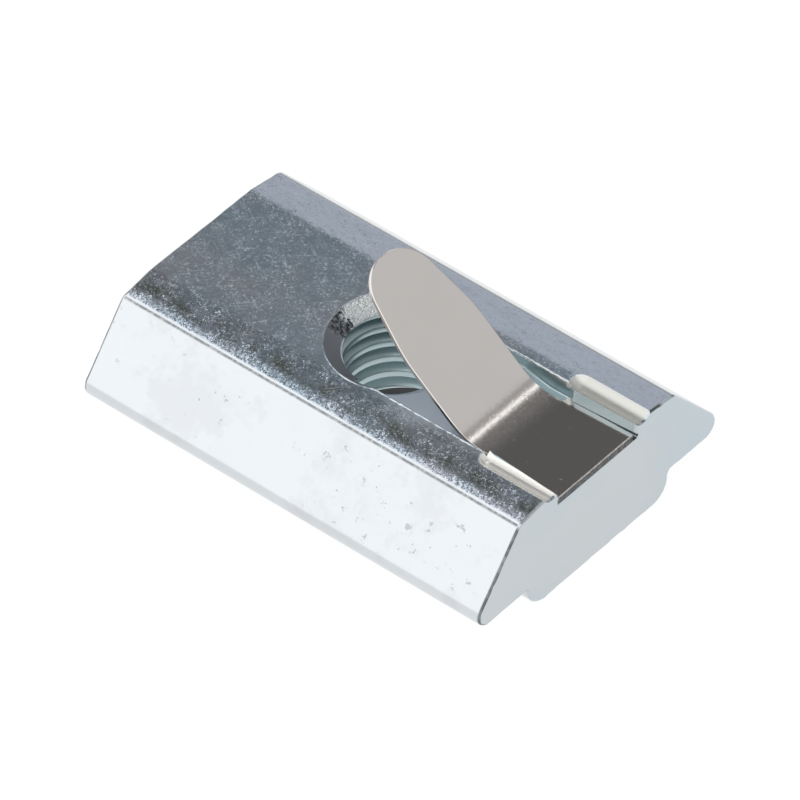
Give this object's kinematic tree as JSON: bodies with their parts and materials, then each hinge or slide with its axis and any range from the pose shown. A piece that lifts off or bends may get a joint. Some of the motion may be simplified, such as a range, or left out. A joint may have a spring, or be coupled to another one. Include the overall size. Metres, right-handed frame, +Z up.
{
  "type": "t slot nut",
  "caption": "Roll-in slot nut: a profiled steel body with a tapped through hole and a staked leaf spring that holds it in the slot.",
  "frame": {"origin": "where the thread axis leaves the collar face, which is the face the nut rests on", "axes": "+X along the nut towards the end that holds the spring's root, +Y across it, +Z up the thread axis from the collar to the spring side"},
  "size_m": [0.02, 0.014, 0.0094],
  "materials": {
    "zinc_steel": "bright zinc plating over cold-drawn steel, faintly mottled and scratched",
    "spring_steel": "smooth bright stainless strip"
  },
  "bodies": {
    "root": {"nut_body": "zinc_steel", "leaf_spring": "spring_steel"}
  },
  "joints": []
}
